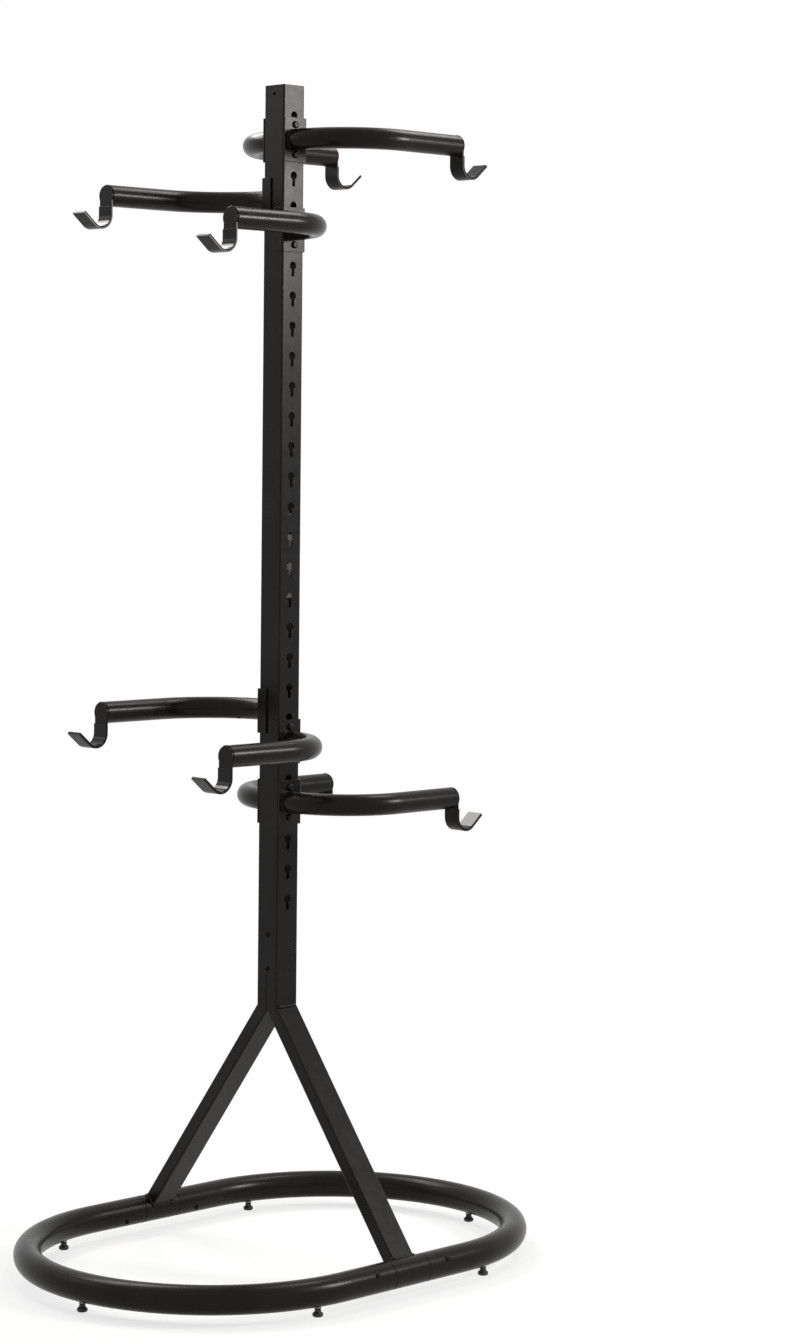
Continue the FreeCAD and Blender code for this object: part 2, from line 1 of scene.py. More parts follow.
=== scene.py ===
# %% [markdown]
# # Two tier bike rack
# A square steel post stands on two splayed legs and an oval ring of tube. Eight bent arms hang on the post
# by headed studs, and each one ends in a lined J hook. The solids come from CAD and are already right in
# size and place, so this lesson does what a paint shop and a photographer would do: it softens the edges,
# adds the weld beads and the fasteners, coats every surface, and sets up a plain studio.

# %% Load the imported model
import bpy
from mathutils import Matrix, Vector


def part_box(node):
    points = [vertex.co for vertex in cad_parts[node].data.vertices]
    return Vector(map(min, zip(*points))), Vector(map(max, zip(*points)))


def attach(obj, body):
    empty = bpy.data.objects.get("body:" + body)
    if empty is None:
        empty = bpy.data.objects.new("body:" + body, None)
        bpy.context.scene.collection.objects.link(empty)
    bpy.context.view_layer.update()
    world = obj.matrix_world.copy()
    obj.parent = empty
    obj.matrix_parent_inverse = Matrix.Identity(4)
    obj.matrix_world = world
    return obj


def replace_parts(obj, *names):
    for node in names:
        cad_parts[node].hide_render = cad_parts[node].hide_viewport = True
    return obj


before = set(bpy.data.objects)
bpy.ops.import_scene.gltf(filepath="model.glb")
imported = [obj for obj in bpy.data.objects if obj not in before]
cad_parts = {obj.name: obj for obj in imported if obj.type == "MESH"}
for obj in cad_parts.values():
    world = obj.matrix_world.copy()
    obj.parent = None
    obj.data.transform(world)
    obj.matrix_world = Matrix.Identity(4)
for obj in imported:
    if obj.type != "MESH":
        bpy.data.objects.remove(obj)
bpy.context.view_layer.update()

# %% [markdown]
# ## Units and names
# Blender works in metres and the shop drawings are in millimetres, so every size below is written in
# millimetres and multiplied by MM. The eight arms differ only in side, end and height. Side is 1 for the
# right hand face and -1 for the left, and end is -1 for the front and 1 for the rear.

# %% Tools and names
import math

import bmesh
import bpy
from mathutils import Matrix, Vector, noise

MM = 0.001
ARMS = {}
for tier in ("upper", "lower"):
    for end_name, end in (("front", -1), ("rear", 1)):
        for side_name, side in (("right", 1), ("left", -1)):
            ARMS["%s_%s_%s" % (tier, end_name, side_name)] = (side, end)
FEET = ["%s_%s" % (end, place) for end in ("front", "rear") for place in ("middle", "left", "right")]
print("arms", ", ".join(ARMS))

# %% [markdown]
# ## The camera
# The camera stands nearly six metres away at chest height and looks almost level, so the post stays upright
# in the picture. The rack is framed by shifting the sensor, as a view camera does, and hardly by tilting.

# %% Camera
CAMERA_AT = (4.1376, -3.9006, 1.4231)
CAMERA_YAW = math.radians(135.658)      # heading, anticlockwise from +X
CAMERA_PITCH = math.radians(0.802)
CAMERA_ROLL = math.radians(0.483)
LENS = 86.22                            # mm
SHIFT = (0.0447, -0.197)                # share of the picture's longer side

turn = (Matrix.Rotation(CAMERA_YAW - math.radians(90), 4, "Z")
        @ Matrix.Rotation(CAMERA_PITCH + math.radians(90), 4, "X")
        @ Matrix.Rotation(CAMERA_ROLL, 4, "Z"))
camera_data = bpy.data.cameras.new("camera")
camera_data.lens = LENS
camera_data.shift_x, camera_data.shift_y = SHIFT
camera = bpy.data.objects.new("camera", camera_data)
camera.matrix_world = Matrix.Translation(CAMERA_AT) @ turn
bpy.context.scene.collection.objects.link(camera)
bpy.context.scene.camera = camera
print("camera %.2f m from the post" % Vector(CAMERA_AT[:2]).length)

# %% [markdown]
# ## Making a material
# A finish is a small tree of nodes that ends in the Principled shader. Two helpers keep the trees short:
# one turns the hex colours that a paint card gives into Blender's linear values, and one adds a node with
# its options and fills its inputs, either with a value or with a link from another node.

# %% Colour and node helpers
def linear(hex_colour):
    """sRGB hex colour, such as #1c1a18, to linear red, green, blue and alpha."""
    channels = [int(hex_colour[i:i + 2], 16) / 255 for i in (1, 3, 5)]
    return [c / 12.92 if c <= 0.04045 else ((c + 0.055) / 1.055) ** 2.4 for c in channels] + [1.0]


def node(tree, kind, inputs=(), **options):
    """Adds a node. An input is named or numbered, and gets a value or the output it is linked to."""
    new = tree.nodes.new(kind)
    for option, value in options.items():
        setattr(new, option, value)
    for name, value in dict(inputs).items():
        if isinstance(value, bpy.types.NodeSocket):
            tree.links.new(value, new.inputs[name])
        else:
            new.inputs[name].default_value = value
    return new


def new_material(name):
    """Empty material, its node tree, and the object coordinates that all patterns are laid out in."""
    material = bpy.data.materials.new(name)
    material.use_nodes = True
    tree = material.node_tree
    tree.nodes.clear()
    return material, tree, node(tree, "ShaderNodeTexCoord").outputs["Object"]


def per_metre(size_mm):
    """Scale of a noise whose grains are this many millimetres across."""
    return 1 / (size_mm * MM)


NOISE_LOW, NOISE_HIGH = 0.3, 0.7        # nearly all of a noise's values lie between these

# %% [markdown]
# ## Satin black powder coat on steel
# The tubes, plates and hooks are polyester powder, sprayed dry and baked. It flows out to a skin about
# 0.08 mm thick with a fine orange peel, so a lamp's reflection has a soft, faintly mottled edge. The resin
# is a plastic, so the metallic value is 0 and the reflection is weak and colourless. A matting agent makes
# it weaker still, which the specular level stands for. The peel is about 1.5 mm across on the real coat
# and is too fine to show from a few metres, so a second, very shallow one of 14 mm is laid under it. The
# coat pulls thin over sharp edges. The edges are painted a shade lighter, partly for that thin coat and
# partly as a painted highlight: the line of light that a rounded edge catches.

# %% Powder coat
# The third colour is the edges' lighter tone, which stands for a thin coat there and for a painted
# highlight.
COAT_COLOUR, COAT_DUSTY, COAT_THIN_EDGE_HIGHLIGHT = "#120f0c", "#1a1714", "#34302a"
COAT_ROUGHNESS = (0.24, 0.3)
COAT_PEEL_MM, COAT_FLOW_MM, COAT_CLOUD_MM = 1.5, 14.0, 90.0
PEEL_DEPTH_MM, FLOW_DEPTH_MM = 0.025, 0.04
DUST_RANGE = (0.45, 0.75)               # noise at which dust begins to show, and is full
EDGE_REACH_MM = 0.9
EDGE_TURN = (0.99, 0.86)                # cosine of the turn at which the lighter edge, thin coat and painted highlight, begins to show, and is full
EDGE_SHARE = 0.6                        # how much of the edge colour, thin coat and painted highlight, shows there


def powder_coat(name):
    material, tree, place = new_material(name)
    peel = node(tree, "ShaderNodeTexNoise", {"Vector": place, "Scale": per_metre(COAT_PEEL_MM),
                                             "Detail": 2.0})
    flow = node(tree, "ShaderNodeTexNoise", {"Vector": place, "Scale": per_metre(COAT_FLOW_MM),
                                             "Detail": 3.0})
    cloud = node(tree, "ShaderNodeTexNoise", {"Vector": place, "Scale": per_metre(COAT_CLOUD_MM),
                                              "Detail": 5.0})
    # The bevel node finds the edges, which are painted lighter for the thin coat and as a painted highlight.
    rounded = node(tree, "ShaderNodeBevel", {"Radius": EDGE_REACH_MM * MM}, samples=4)
    true = node(tree, "ShaderNodeNewGeometry").outputs["Normal"]
    bend = node(tree, "ShaderNodeVectorMath", {0: rounded.outputs[0], 1: true}, operation="DOT_PRODUCT")
    edge = node(tree, "ShaderNodeMapRange", {"Value": bend.outputs["Value"], "From Min": EDGE_TURN[0],
                                             "From Max": EDGE_TURN[1], "To Max": EDGE_SHARE})
    dusty = node(tree, "ShaderNodeMapRange", {"Value": cloud.outputs["Fac"], "From Min": DUST_RANGE[0],
                                              "From Max": DUST_RANGE[1]})
    colour = node(tree, "ShaderNodeMix", {"Factor": dusty.outputs[0], "A": linear(COAT_COLOUR),
                                          "B": linear(COAT_DUSTY)}, data_type="RGBA")
    thin_and_highlit = node(tree, "ShaderNodeMix", {"Factor": edge.outputs[0], "A": colour.outputs["Result"],
                                        "B": linear(COAT_THIN_EDGE_HIGHLIGHT)}, data_type="RGBA")
    rough = node(tree, "ShaderNodeMapRange", {"Value": flow.outputs["Fac"], "From Min": NOISE_LOW,
                                              "From Max": NOISE_HIGH, "To Min": COAT_ROUGHNESS[0],
                                              "To Max": COAT_ROUGHNESS[1]})
    low = node(tree, "ShaderNodeBump", {"Height": flow.outputs["Fac"],
                                        "Strength": 0.2, "Distance": FLOW_DEPTH_MM * MM})
    high = node(tree, "ShaderNodeBump", {"Height": peel.outputs["Fac"], "Normal": low.outputs[0],
                                         "Strength": 0.3, "Distance": PEEL_DEPTH_MM * MM})
    skin = node(tree, "ShaderNodeBsdfPrincipled",
                {"Base Color": thin_and_highlit.outputs["Result"], "Roughness": rough.outputs[0],
                 "Normal": high.outputs[0], "IOR": 1.5, "Specular IOR Level": 0.12})
    node(tree, "ShaderNodeOutputMaterial", {"Surface": skin.outputs[0]})
    return material


satin_powder_coat = powder_coat("satin_black_powder_coat")
print("coat", satin_powder_coat.name)

# %% [markdown]
# ## Glossy black vinyl in the hooks
# Each hook holds a strip of plasticised vinyl, so that it doesn't mark a frame. It comes off polished
# rolls, which leave its faces glossy, and then picks up fine scuffs across the strip where frames are set
# down. Long thin noise, drawn out along the strip's width, gives those scuffs. The strip was slit from a
# wider sheet, and a slit side is dull. The sides face along X, so the normal tells them from the faces.

# %% Hook liner
VINYL_COLOUR, VINYL_SCUFFED = "#080808", "#0f0f0f"
VINYL_GLOSS, VINYL_SLIT = (0.1, 0.18), 0.75
SCUFF_MM, WAVE_MM, WAVE_DEPTH_MM = 1.2, 9.0, 0.1
SCUFF_STRETCH = 0.12                    # along the strip's width, where 1 is round
SCUFF_RANGE = (0.45, 0.75)              # noise at which a scuff begins, and is full
SIDE_RANGE = (0.2, 0.6)                 # the normal's X at which a slit side begins, and is full


def rolled_vinyl(name):
    material, tree, place = new_material(name)
    drawn = node(tree, "ShaderNodeMapping", {"Vector": place, "Scale": (SCUFF_STRETCH, 1.0, 1.0)})
    scuffs = node(tree, "ShaderNodeTexNoise", {"Vector": drawn.outputs[0], "Scale": per_metre(SCUFF_MM),
                                               "Detail": 4.0})
    wave = node(tree, "ShaderNodeTexNoise", {"Vector": place, "Scale": per_metre(WAVE_MM), "Detail": 1.0})
    gloss = node(tree, "ShaderNodeMapRange", {"Value": scuffs.outputs["Fac"], "From Min": SCUFF_RANGE[0],
                                              "From Max": SCUFF_RANGE[1], "To Min": VINYL_GLOSS[0],
                                              "To Max": VINYL_GLOSS[1]})
    facing = node(tree, "ShaderNodeSeparateXYZ", {0: node(tree, "ShaderNodeNewGeometry").outputs["Normal"]})
    aside = node(tree, "ShaderNodeMath", {0: facing.outputs["X"]}, operation="ABSOLUTE")
    rough = node(tree, "ShaderNodeMapRange", {"Value": aside.outputs[0], "From Min": SIDE_RANGE[0],
                                              "From Max": SIDE_RANGE[1], "To Min": gloss.outputs[0],
                                              "To Max": VINYL_SLIT})
    tone = node(tree, "ShaderNodeMix", {"Factor": scuffs.outputs["Fac"], "A": linear(VINYL_COLOUR),
                                        "B": linear(VINYL_SCUFFED)}, data_type="RGBA")
    bump = node(tree, "ShaderNodeBump", {"Height": wave.outputs["Fac"],
                                         "Strength": 0.3, "Distance": WAVE_DEPTH_MM * MM})
    skin = node(tree, "ShaderNodeBsdfPrincipled",
                {"Base Color": tone.outputs["Result"], "Roughness": rough.outputs[0],
                 "Normal": bump.outputs[0], "IOR": 1.53, "Specular IOR Level": 0.15})
    node(tree, "ShaderNodeOutputMaterial", {"Surface": skin.outputs[0]})
    return material


gloss_vinyl = rolled_vinyl("gloss_black_vinyl")

# %% [markdown]
# ## Zinc on the screws, studs and sleeves
# Screws and studs are steel with black passivated zinc: a dark metal, satin, with a faint bloom. The
# joiner and the leg spigot inside the post, and the threaded inserts, are left in bright zinc with the
# frosty patches that plating has. A metal keeps Blender's own IOR, and its colour tints the reflection.

# %% Plated steel
ZINC_GRAIN_MM, ZINC_DEPTH_MM, ZINC_SPREAD = 0.6, 0.02, 0.07


def plated_steel(name, colour, bloom, roughness, patch_mm):
    material, tree, place = new_material(name)
    patches = node(tree, "ShaderNodeTexVoronoi", {"Vector": place, "Scale": per_metre(patch_mm)})
    grain = node(tree, "ShaderNodeTexNoise", {"Vector": place, "Scale": per_metre(ZINC_GRAIN_MM),
                                              "Detail": 3.0})
    tone = node(tree, "ShaderNodeMix", {"Factor": patches.outputs["Color"], "A": linear(colour),
                                        "B": linear(bloom)}, data_type="RGBA")
    rough = node(tree, "ShaderNodeMapRange", {"Value": grain.outputs["Fac"], "From Min": NOISE_LOW,
                                              "From Max": NOISE_HIGH, "To Min": roughness - ZINC_SPREAD,
                                              "To Max": roughness + ZINC_SPREAD})
    bump = node(tree, "ShaderNodeBump", {"Height": grain.outputs["Fac"],
                                         "Strength": 0.2, "Distance": ZINC_DEPTH_MM * MM})
    skin = node(tree, "ShaderNodeBsdfPrincipled",
                {"Base Color": tone.outputs["Result"], "Roughness": rough.outputs[0],
                 "Normal": bump.outputs[0], "Metallic": 1.0})
    node(tree, "ShaderNodeOutputMaterial", {"Surface": skin.outputs[0]})
    return material


black_zinc = plated_steel("black_passivated_zinc", "#181819", "#232324", 0.36, 3.0)
bright_zinc = plated_steel("bright_zinc_plate", "#8b8d8d", "#a5a6a3", 0.42, 2.5)

# %% [markdown]
# ## Black nylon
# The feet and the plug are injection moulded nylon. The mould is spark eroded, which leaves a fine even
# grain, about 0.5 mm across, and a dull grey sheen.

# %% Nylon
NYLON_COLOUR, NYLON_HAZED = "#121212", "#20201f"
NYLON_ROUGHNESS = (0.45, 0.6)
NYLON_GRAIN_MM, NYLON_DEPTH_MM, NYLON_HAZE_MM = 0.5, 0.03, 12.0


def moulded_nylon(name):
    material, tree, place = new_material(name)
    grain = node(tree, "ShaderNodeTexNoise", {"Vector": place, "Scale": per_metre(NYLON_GRAIN_MM),
                                              "Detail": 2.0})
    haze = node(tree, "ShaderNodeTexNoise", {"Vector": place, "Scale": per_metre(NYLON_HAZE_MM),
                                             "Detail": 3.0})
    tone = node(tree, "ShaderNodeMix", {"Factor": haze.outputs["Fac"], "A": linear(NYLON_COLOUR),
                                        "B": linear(NYLON_HAZED)}, data_type="RGBA")
    rough = node(tree, "ShaderNodeMapRange", {"Value": grain.outputs["Fac"], "From Min": NOISE_LOW,
                                              "From Max": NOISE_HIGH, "To Min": NYLON_ROUGHNESS[0],
                                              "To Max": NYLON_ROUGHNESS[1]})
    bump = node(tree, "ShaderNodeBump", {"Height": grain.outputs["Fac"],
                                         "Strength": 0.4, "Distance": NYLON_DEPTH_MM * MM})
    skin = node(tree, "ShaderNodeBsdfPrincipled",
                {"Base Color": tone.outputs["Result"], "Roughness": rough.outputs[0],
                 "Normal": bump.outputs[0], "IOR": 1.53, "Specular IOR Level": 0.4})
    node(tree, "ShaderNodeOutputMaterial", {"Surface": skin.outputs[0]})
    return material


grained_nylon = moulded_nylon("grained_black_nylon")
finishes = (satin_powder_coat, gloss_vinyl, black_zinc, bright_zinc, grained_nylon)
print("finishes", ", ".join(material.name for material in finishes))

# %% [markdown]
# ## Soft edges
# CAD edges are perfectly sharp, and a sharp edge has no highlight. Real sheet and tube have a sheared or
# rolled edge with a skin of powder over it. The shape stays the CAD model's own: its mesh is copied, the
# triangles of each flat face are merged again, and only the edges that turn by more than a set angle are
# rounded over. The copy then stands for the CAD node. A bevel modifier could do it too, but a bmesh bevel
# can be told exactly which edges to take.

# %% Edge softening
SHARP = math.radians(34)
FLAT = math.radians(0.6)
BEVEL_STEPS = 2


def finish(piece, body, material):
    """Paints a new piece, puts it in the scene, and lets it ride on its CAD body."""
    piece.data.materials.append(material)
    bpy.context.scene.collection.objects.link(piece)
    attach(piece, body)
    return piece


def soften(name, body, radius_mm, material):
    """Copy of a CAD node with its sharp edges rounded."""
    shape = bmesh.new()
    shape.from_mesh(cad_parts[name].data)
    bmesh.ops.remove_doubles(shape, verts=shape.verts, dist=0.001 * MM)
    bmesh.ops.dissolve_limit(shape, angle_limit=FLAT, verts=shape.verts, edges=shape.edges)
    sharp = [e for e in shape.edges if e.is_manifold and e.calc_face_angle() > SHARP]
    bmesh.ops.bevel(shape, geom=sharp, offset=radius_mm * MM, segments=BEVEL_STEPS, profile=0.5,
                    affect="EDGES", clamp_overlap=True)
    mesh = bpy.data.meshes.new(name + "_soft")
    shape.to_mesh(mesh)
    shape.free()
    mesh.shade_smooth()
    piece = bpy.data.objects.new(name + "_soft", mesh)
    piece.modifiers.new("even shading", "WEIGHTED_NORMAL").keep_sharp = True
    finish(piece, body, material)
    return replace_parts(piece, name)

# %% [markdown]
# The posts, legs and brackets are 2 or 3 mm steel and get 0.5 mm. The hooks and the moulded plug get a
# little less, and the liners, which are only 2 mm of soft vinyl, about half of that.

# %% Softened pieces
STEEL_EDGE, HOOK_EDGE, PLUG_EDGE, LINER_EDGE = 0.5, 0.4, 0.4, 0.25

for name in ("upper_post", "lower_post", "leg_left", "leg_right"):
    soften(name, "frame", STEEL_EDGE, satin_powder_coat)
soften("post_plug", "frame", PLUG_EDGE, grained_nylon)
for arm in ARMS:
    body = arm + "_arm"
    soften(arm + "_bracket", body, STEEL_EDGE, satin_powder_coat)
    soften(arm + "_hook", body, HOOK_EDGE, satin_powder_coat)
    soften(arm + "_liner", body, LINER_EDGE, gloss_vinyl)

# %% [markdown]
# Round tubes, turned studs and threaded inserts have no long sharp edge that shows, and the two square
# sleeves are hidden in the post. So these CAD nodes stay as they are and only get their finish.

# %% Painted CAD nodes
PAINTED = {"ring_front_half": satin_powder_coat, "ring_rear_half": satin_powder_coat,
           "ring_socket_left": satin_powder_coat, "ring_socket_right": satin_powder_coat,
           "post_joiner": bright_zinc, "leg_spigot": bright_zinc, "foot_inserts": bright_zinc}
for arm in ARMS:
    PAINTED[arm + "_tube"] = satin_powder_coat
    PAINTED[arm + "_studs"] = black_zinc
for name, material in PAINTED.items():
    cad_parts[name].material_slots[0].material = material
print("painted", len(PAINTED), "nodes")

# %% [markdown]
# ## Weld beads
# A bead laid by hand is a row of overlapping drops, about 3 mm apart, that wanders a little. A curve with
# a round bevel is the quickest way to such a bead, because every point of it has its own radius. The
# radius swells with each drop, though only faintly, since the powder fills the valleys between them, and
# slow noise makes some stretches fatter and pushes them to and fro. More than half of the bead is buried
# in the steel. A separate open strand tapers at both ends.

# %% Bead helpers
BEAD_STEP, BEAD_PITCH, BEAD_PATCH = 0.5 * MM, 3.1 * MM, 11 * MM
BEAD_RIPPLE, BEAD_SWELL, BEAD_SWAY = 0.045, 0.55, 0.5 * MM
BEAD_TIP, BEAD_TAPER = 0.4, 12          # radius at an open end as a share, and its growth along the bead
MEASURING_STEPS = 64


def strand(place_at, radius, closed=False):
    """Points and radii of a bead along place_at(0..1)."""
    coarse = [place_at(i / MEASURING_STEPS) for i in range(MEASURING_STEPS + 1)]
    length = sum((b - a).length for a, b in zip(coarse, coarse[1:]))
    count = round(length / BEAD_STEP)
    drops = round(length / BEAD_PITCH)
    points = []
    for i in range(count if closed else count + 1):
        u = i / count
        place = place_at(u)
        ripple = 1 + BEAD_RIPPLE * math.cos(2 * math.pi * drops * u)
        swell = 1 + BEAD_SWELL * noise.noise(place / BEAD_PATCH)
        taper = 1 if closed else min(1, BEAD_TIP + BEAD_TAPER * min(u, 1 - u))
        place += noise.noise_vector(place / BEAD_PATCH) * BEAD_SWAY
        points.append((place, radius * ripple * swell * taper))
    return points, closed


def weld(name, strands, body):
    """One piece made of several bead strands."""
    curve = bpy.data.curves.new(name, "CURVE")
    curve.dimensions = "3D"
    curve.bevel_depth = 1.0
    curve.bevel_resolution = 3
    curve.use_fill_caps = True
    for points, closed in strands:
        spline = curve.splines.new("POLY")
        spline.points.add(len(points) - 1)
        spline.use_cyclic_u = closed
        for point, (place, radius) in zip(spline.points, points):
            point.co = (*place, 1)
            point.radius = radius
    mesh = bpy.data.meshes.new_from_object(bpy.data.objects.new(name, curve))
    mesh.shade_smooth()
    piece = bpy.data.objects.new(name, mesh)
    return finish(piece, body, satin_powder_coat)

# %% [markdown]
# Each arm's tube is welded to its bracket on both flanks, clear of the stud heads above and below. At its
# other end the hook's round top closes the tube. It is a little smaller than the tube, and the bead fills
# the step round it, down to where the strip leaves it. There the bead dives behind the strip, into the
# corner under the tube.

# %% Arm welds
ROOT_BEAD, RIM_BEAD, UNDER_BEAD = 2.2 * MM, 1.0 * MM, 1.5 * MM
ROOT_ARC = math.radians(58)      # half of each root strand's sweep
RIM_START, RIM_SWEEP = math.radians(-32), math.radians(244)
UNDER_SWEEP = math.radians(110)
RIM_DEPTH, UNDER_SINK = 0.5 * MM, 0.4 * MM


def ring_point(centre, across, radius, angle):
    return centre + (across * math.cos(angle) + Vector((0, 0, 1)) * math.sin(angle)) * radius


def arm_welds(arm, side, end):
    low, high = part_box(arm + "_tube")
    z, radius = (low.z + high.z) / 2, (high.z - low.z) / 2
    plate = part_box(arm + "_bracket")
    root = Vector(((plate[1] if side > 0 else plate[0]).x, 0, z))
    tip = Vector(((high.x - radius) if side > 0 else (low.x + radius), (high if end > 0 else low).y, z))
    along, outward = Vector((1, 0, 0)), Vector((0, end, 0))
    strands = []
    for way in (0, math.pi):
        strands.append(strand(lambda u, way=way: ring_point(
            root, Vector((0, 1, 0)), radius, way + (2 * u - 1) * ROOT_ARC), ROOT_BEAD))
    strands.append(strand(lambda u: ring_point(
        tip, along, radius - RIM_DEPTH, RIM_START + u * RIM_SWEEP), RIM_BEAD))
    strands.append(strand(lambda u: ring_point(
        tip - outward * UNDER_SINK, along, radius, (u - 0.5) * UNDER_SWEEP - math.pi / 2), UNDER_BEAD))
    return weld(arm + "_welds", strands, arm + "_arm")


for arm, (side, end) in ARMS.items():
    arm_welds(arm, side, end)
print("welded", len(ARMS), "arms")

# %% [markdown]
# The legs' feet are coped over the ring sockets and welded all round. The seam is where the slanting
# rounded rectangle of the leg meets the round socket: each point of the rectangle slides down the leg's
# slope until it is a tube radius from the socket's axis, which is a quadratic equation. The welder stops
# and starts at the corners, so the bead is fattest there. A second bead fills the inner corner where each
# leg is mitred to its upright stub.

# %% Leg welds
FOLD_X, FOLD_Z, LEG_THICK, LEG_HALF, CORNER = 25 * MM, 450 * MM, 25 * MM, 25 * MM, 3 * MM
CORNER_STEPS = 4
SOCKET_X, SOCKET_Z, RING_RADIUS = 320 * MM, 40.15 * MM, 24.15 * MM
LEG_BEAD, FOLD_BEAD, CORNER_BLOB = 1.8 * MM, 3.0 * MM, 1.8
span = Vector((SOCKET_X - FOLD_X, FOLD_Z - SOCKET_Z))
LEG_ANGLE = math.atan2(span.x, span.y) + math.asin(LEG_THICK / 2 / span.length)


def rounded_rectangle(u):
    """Point on the leg's section, as a distance in from its outer face and one across it."""
    corners = [(-CORNER, LEG_HALF - CORNER), (CORNER - LEG_THICK, LEG_HALF - CORNER),
               (CORNER - LEG_THICK, CORNER - LEG_HALF), (-CORNER, CORNER - LEG_HALF)]
    outline = []
    for i, (x, y) in enumerate(corners):
        for step in range(CORNER_STEPS + 1):
            angle = math.radians(90 * (i + step / CORNER_STEPS))
            outline.append(Vector((x + CORNER * math.cos(angle), y + CORNER * math.sin(angle))))
    outline.append(outline[0])
    lengths = [(b - a).length for a, b in zip(outline, outline[1:])]
    rest = u * sum(lengths)
    for a, b, length in zip(outline, outline[1:], lengths):
        if rest <= length:
            return a.lerp(b, rest / length)
        rest -= length
    return outline[-1]


def foot_point(side, u):
    flat = rounded_rectangle(u)
    slope = Vector((math.sin(LEG_ANGLE), -math.cos(LEG_ANGLE)))
    start = Vector((FOLD_X - SOCKET_X, FOLD_Z - SOCKET_Z)) + flat.x * Vector((-slope.y, slope.x))
    along = start.dot(slope)
    slide = -along - math.sqrt(along ** 2 - start.length_squared + RING_RADIUS ** 2)
    seam = start + slope * slide
    return Vector((side * (SOCKET_X + seam.x), flat.y, SOCKET_Z + seam.y))


def leg_welds(side_name, side):
    points, closed = strand(lambda u: foot_point(side, u), LEG_BEAD, closed=True)
    fat = [(p, r * (CORNER_BLOB if abs(p.y) > LEG_HALF - 2 * CORNER else 1)) for p, r in points]
    inset = LEG_HALF - CORNER
    fold = strand(lambda u: Vector((side * FOLD_X, (2 * u - 1) * inset, FOLD_Z)), FOLD_BEAD)
    return weld("leg_%s_welds" % side_name, [(fat, closed), fold], "frame")


leg_welds("left", -1)
leg_welds("right", 1)

# %% [markdown]
# ## Fasteners
# A button head screw is turned, then broached for a hex key. So its mesh is made the same way: a profile
# of radius and height is spun round an axis, and a six sided prism is cut out of it. The same spin makes
# the dome nuts and the feet.

# %% Turning and broaching
TURN_STEPS = 40


def turned(profile_mm):
    """Mesh spun round Z from (radius, height) points, closed at both ends where the radius is 0."""
    shape = bmesh.new()
    verts = [shape.verts.new((r * MM, 0, z * MM)) for r, z in profile_mm]
    edges = [shape.edges.new(pair) for pair in zip(verts, verts[1:])]
    bmesh.ops.spin(shape, geom=verts + edges, cent=(0, 0, 0), axis=(0, 0, 1), dvec=(0, 0, 0),
                   angle=2 * math.pi, steps=TURN_STEPS, use_merge=True)
    bmesh.ops.remove_doubles(shape, verts=shape.verts, dist=0.001 * MM)
    bmesh.ops.recalc_face_normals(shape, faces=shape.faces)
    mesh = bpy.data.meshes.new("turned")
    shape.to_mesh(mesh)
    shape.free()
    return mesh


def hexagon(across_mm, low_mm, high_mm):
    """Six sided prism, measured across its flats."""
    shape = bmesh.new()
    bmesh.ops.create_cone(shape, cap_ends=True, segments=6, radius1=across_mm / math.sqrt(3) * MM,
                          radius2=across_mm / math.sqrt(3) * MM, depth=(high_mm - low_mm) * MM)
    bmesh.ops.translate(shape, verts=shape.verts, vec=(0, 0, (high_mm + low_mm) / 2 * MM))
    mesh = bpy.data.meshes.new("hexagon")
    shape.to_mesh(mesh)
    shape.free()
    return mesh


def combined(first, second, operation):
    """Boolean of two meshes, as a new mesh."""
    base, tool = (bpy.data.objects.new("work", mesh) for mesh in (first, second))
    for work in (base, tool):
        bpy.context.scene.collection.objects.link(work)
    step = base.modifiers.new("boolean", "BOOLEAN")
    step.operation, step.object, step.solver = operation, tool, "EXACT"
    bpy.context.view_layer.update()
    mesh = bpy.data.meshes.new_from_object(base.evaluated_get(bpy.context.evaluated_depsgraph_get()))
    bpy.data.objects.remove(base)
    bpy.data.objects.remove(tool)
    return mesh


def placed(name, parts, body, material):
    """One piece from (mesh, point in metres, outward direction) parts."""
    shape = bmesh.new()
    for mesh, at, out in parts:
        copy = mesh.copy()
        copy.transform(Matrix.Translation(at) @ Vector(out).to_track_quat("Z", "Y").to_matrix().to_4x4())
        shape.from_mesh(copy)
    mesh = bpy.data.meshes.new(name)
    shape.to_mesh(mesh)
    shape.free()
    mesh.shade_smooth()
    mesh.set_sharp_from_angle(angle=SHARP)
    return finish(bpy.data.objects.new(name, mesh), body, material)

# %% [markdown]
# Six M6 screws hold the post to the sleeves inside it: four on the leg spigot, through the front and rear
# faces, and two on the joiner, through the rear face. Four longer bolts with dome nuts hold the ring to
# its sockets, tilted so that their heads can be reached from above.

# %% Screws and ring bolts
SCREW_HEAD = [(0, 3.0), (2.6, 3.0), (3.6, 2.65), (4.35, 1.9), (4.75, 0.9), (4.8, 0.15), (4.65, 0.0),
              (3.0, 0.0), (3.0, -6.8), (0, -6.8)]
HALF_POST, POST_FOOT, POST_SEAM = 25 * MM, 505 * MM, 1240 * MM
SPIGOT_SCREWS = (POST_FOOT + 10 * MM, POST_FOOT + 70 * MM)
JOINER_SCREW_OFFSET = 40 * MM
HEX_KEY, SOCKET_FLOOR, NUT_FLATS = 4.0, 1.2, 8.4
PRISM_TOP = 4.2                         # above every head and nut, so that a prism runs out of its top
SADDLE = -1.0                           # underside of a head or nut that is shaped to the round tube
BOLT_TILT = math.radians(30)
BOLT_Y = 84 * MM

button = combined(turned(SCREW_HEAD), hexagon(HEX_KEY, SOCKET_FLOOR, PRISM_TOP), "DIFFERENCE")
parts = [(button, (0, end * HALF_POST, z), (0, end, 0)) for end in (-1, 1) for z in SPIGOT_SCREWS]
parts += [(button, (0, HALF_POST, POST_SEAM + way * JOINER_SCREW_OFFSET), (0, 1, 0)) for way in (-1, 1)]
post_screws = placed("button_screws", parts, "frame", black_zinc)
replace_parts(post_screws, "post_screws")

